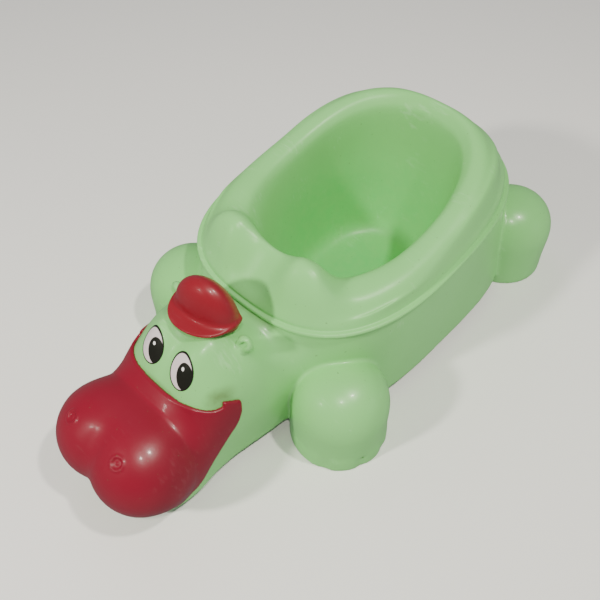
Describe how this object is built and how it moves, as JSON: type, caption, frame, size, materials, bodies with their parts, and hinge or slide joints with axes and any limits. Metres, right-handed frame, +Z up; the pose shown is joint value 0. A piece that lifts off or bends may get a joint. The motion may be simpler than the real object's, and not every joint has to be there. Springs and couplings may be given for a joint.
{
  "type": "potty training chair",
  "caption": "Animal-shaped toddler potty: body with head and four domed legs, lift-out seat with bowl and splash guard, red muzzle cover and peaked cap.",
  "frame": {"origin": "on the floor, under the centre of the overall box", "axes": "+Z up, nose towards -Y, X = 0 is the plane of symmetry"},
  "size_m": [0.2784, 0.5284, 0.1801],
  "materials": {
    "body_plastic": "pale green moulded polypropylene, satin gloss with light scuffs",
    "seat_plastic": "pale green moulded polypropylene, satin gloss with light scuffs",
    "red_plastic": "red moulded plastic, glossy",
    "cap_plastic": "red moulded plastic, glossy",
    "eye_print": "printed vinyl sticker: off-white eye, black pupil and outline"
  },
  "bodies": {
    "root": {"body_shell": "body_plastic", "muzzle_cover": "red_plastic", "peaked_cap": "cap_plastic", "left_eye_decal": "eye_print", "right_eye_decal": "eye_print"},
    "seat": {"seat_bowl": "seat_plastic"}
  },
  "joints": [
    {"name": "seat_lift", "type": "slide", "parent": "root", "child": "seat", "axis": [0, 0, 1], "range_m": [0, 0.16]}
  ]
}
